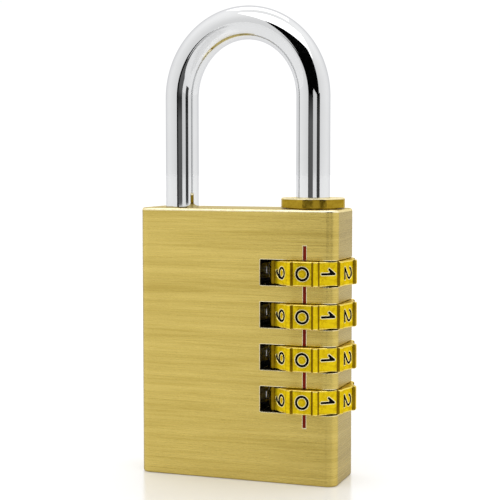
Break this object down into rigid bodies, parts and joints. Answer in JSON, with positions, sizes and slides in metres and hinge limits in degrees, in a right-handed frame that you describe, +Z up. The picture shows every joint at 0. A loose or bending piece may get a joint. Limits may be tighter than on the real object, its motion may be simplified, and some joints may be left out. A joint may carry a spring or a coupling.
{
  "type": "combination padlock",
  "caption": "Upright brass block padlock with a tall chromed shackle and a stack of numbered turning dials at one side, read against an index line.",
  "frame": {"origin": "middle of the body's flat bottom face", "axes": "+Z up the shackle, -Y out of the front face with the index line, +X towards the dials' side"},
  "size_m": [0.0421, 0.0168, 0.0913],
  "materials": {
    "body_brass": "brushed along the width, slightly dulled",
    "dial_brass": "polished flats, bright yellow",
    "shackle_chrome": "mirror chrome over hardened steel",
    "steel": "turned",
    "spring_steel": "bright drawn",
    "numeral_black": "black fill in the engraved digits",
    "index_red": "dark red paint in the index groove"
  },
  "bodies": {
    "case": {"padlock_body": "body_brass", "guide_nut": "body_brass", "bottom_plug": "body_brass", "reset_spring": "spring_steel", "click_spring_1": "spring_steel", "click_spring_2": "spring_steel", "click_spring_3": "spring_steel", "click_spring_4": "spring_steel"},
    "shackle_bar": {"shackle": "shackle_chrome", "locking_pin_1": "steel", "locking_pin_2": "steel", "locking_pin_3": "steel", "locking_pin_4": "steel"},
    "stack": {"reset_sleeve": "steel", "retaining_ring": "spring_steel", "spacer_1": "body_brass", "spacer_2": "body_brass", "spacer_3": "body_brass", "spacer_4": "body_brass"},
    "dial_1_ring": {"dial_1": "dial_brass"},
    "dial_2_ring": {"dial_2": "dial_brass"},
    "dial_3_ring": {"dial_3": "dial_brass"},
    "dial_4_ring": {"dial_4": "dial_brass"},
    "hub_1_disc": {"dial_hub_1": "steel"},
    "hub_2_disc": {"dial_hub_2": "steel"},
    "hub_3_disc": {"dial_hub_3": "steel"},
    "hub_4_disc": {"dial_hub_4": "steel"}
  },
  "joints": [
    {"name": "shackle_lift", "type": "slide", "parent": "case", "child": "shackle_bar", "axis": [0, 0, 1], "range_m": [0, 0.00808]},
    {"name": "code_reset", "type": "slide", "parent": "case", "child": "stack", "axis": [0, 0, 1], "range_m": [-0.0015, 0], "stiffness_N_per_m": 500, "deforming": ["reset_spring"]},
    {"name": "dial_1_turn", "type": "hinge", "parent": "case", "child": "dial_1_ring", "pos_m": [0.0135, 0, 0.04034], "axis": [0, 0, 1], "continuous": true},
    {"name": "dial_2_turn", "type": "hinge", "parent": "case", "child": "dial_2_ring", "pos_m": [0.0135, 0, 0.03226], "axis": [0, 0, 1], "continuous": true},
    {"name": "dial_3_turn", "type": "hinge", "parent": "case", "child": "dial_3_ring", "pos_m": [0.0135, 0, 0.02418], "axis": [0, 0, 1], "continuous": true},
    {"name": "dial_4_turn", "type": "hinge", "parent": "case", "child": "dial_4_ring", "pos_m": [0.0135, 0, 0.0161], "axis": [0, 0, 1], "continuous": true},
    {"name": "hub_1_turn", "type": "hinge", "parent": "stack", "child": "hub_1_disc", "pos_m": [0.0135, 0, 0.04034], "axis": [0, 0, 1], "continuous": true},
    {"name": "hub_2_turn", "type": "hinge", "parent": "stack", "child": "hub_2_disc", "pos_m": [0.0135, 0, 0.03226], "axis": [0, 0, 1], "continuous": true},
    {"name": "hub_3_turn", "type": "hinge", "parent": "stack", "child": "hub_3_disc", "pos_m": [0.0135, 0, 0.02418], "axis": [0, 0, 1], "continuous": true},
    {"name": "hub_4_turn", "type": "hinge", "parent": "stack", "child": "hub_4_disc", "pos_m": [0.0135, 0, 0.0161], "axis": [0, 0, 1], "continuous": true}
  ],
  "couplings": [
    {"joint": "hub_1_turn", "follows": "dial_1_turn", "ratio": 1},
    {"joint": "hub_2_turn", "follows": "dial_2_turn", "ratio": 1},
    {"joint": "hub_3_turn", "follows": "dial_3_turn", "ratio": 1},
    {"joint": "hub_4_turn", "follows": "dial_4_turn", "ratio": 1}
  ]
}
